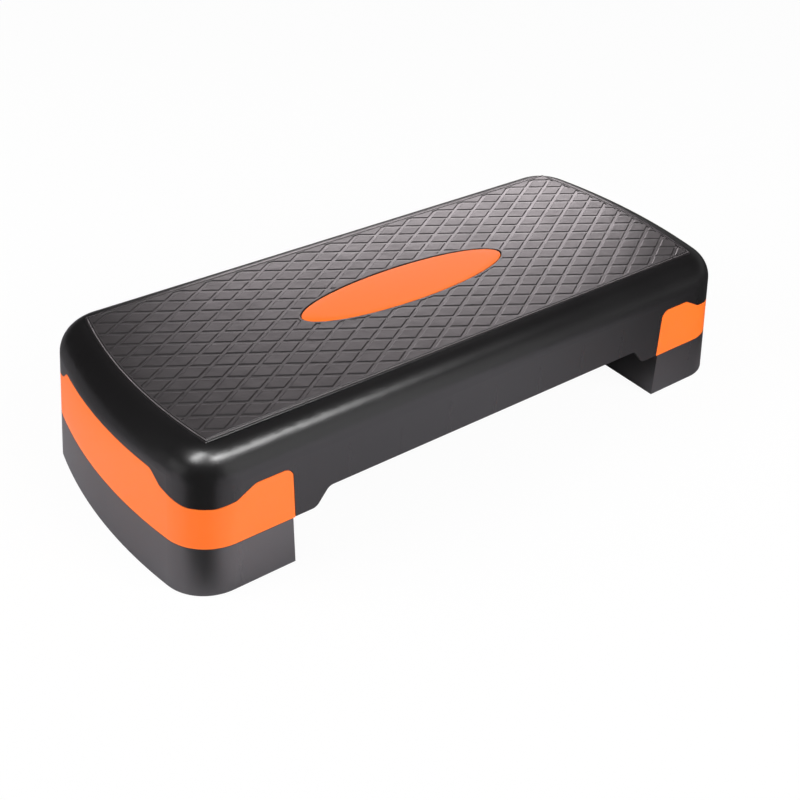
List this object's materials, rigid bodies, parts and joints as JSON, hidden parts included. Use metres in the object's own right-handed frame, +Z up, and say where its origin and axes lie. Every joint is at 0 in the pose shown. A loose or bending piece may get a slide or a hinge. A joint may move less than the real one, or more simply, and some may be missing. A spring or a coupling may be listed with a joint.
{
  "type": "aerobic step platform",
  "caption": "Low exercise step: a ribbed black deck with a diamond-tiled tread and an orange oval, on orange collars and black risers that pull off for a lower height.",
  "frame": {"origin": "on the floor under the middle of the deck", "axes": "+X along the length, front flank at -Y, +Z up"},
  "size_m": [0.691, 0.295, 0.1433],
  "materials": {
    "black_plastic": "satin moulded polypropylene",
    "orange_plastic": "satin moulded polypropylene",
    "tread_rubber": "matt thermoplastic rubber with raised rhombic tiles",
    "pad_rubber": "matt rubber",
    "screw_steel": "zinc plated"
  },
  "bodies": {
    "deck": {"deck_shell": "black_plastic", "tread_mat": "tread_rubber", "oval_badge": "orange_plastic", "left_collar": "orange_plastic", "left_collar_screws": "screw_steel", "left_collar_pad_front_outer": "pad_rubber", "left_collar_pad_front_inner": "pad_rubber", "left_collar_pad_back_outer": "pad_rubber", "left_collar_pad_back_inner": "pad_rubber", "right_collar": "orange_plastic", "right_collar_screws": "screw_steel", "right_collar_pad_front_outer": "pad_rubber", "right_collar_pad_front_inner": "pad_rubber", "right_collar_pad_back_outer": "pad_rubber", "right_collar_pad_back_inner": "pad_rubber"},
    "left_riser": {"left_riser": "black_plastic", "left_riser_pad_front_outer": "pad_rubber", "left_riser_pad_front_inner": "pad_rubber", "left_riser_pad_back_outer": "pad_rubber", "left_riser_pad_back_inner": "pad_rubber"},
    "right_riser": {"right_riser": "black_plastic", "right_riser_pad_front_outer": "pad_rubber", "right_riser_pad_front_inner": "pad_rubber", "right_riser_pad_back_outer": "pad_rubber", "right_riser_pad_back_inner": "pad_rubber"}
  },
  "joints": [
    {"name": "left_riser_pull", "type": "slide", "parent": "deck", "child": "left_riser", "axis": [0, 0, -1], "range_m": [0, 0.06]},
    {"name": "right_riser_pull", "type": "slide", "parent": "deck", "child": "right_riser", "axis": [0, 0, -1], "range_m": [0, 0.06]}
  ]
}
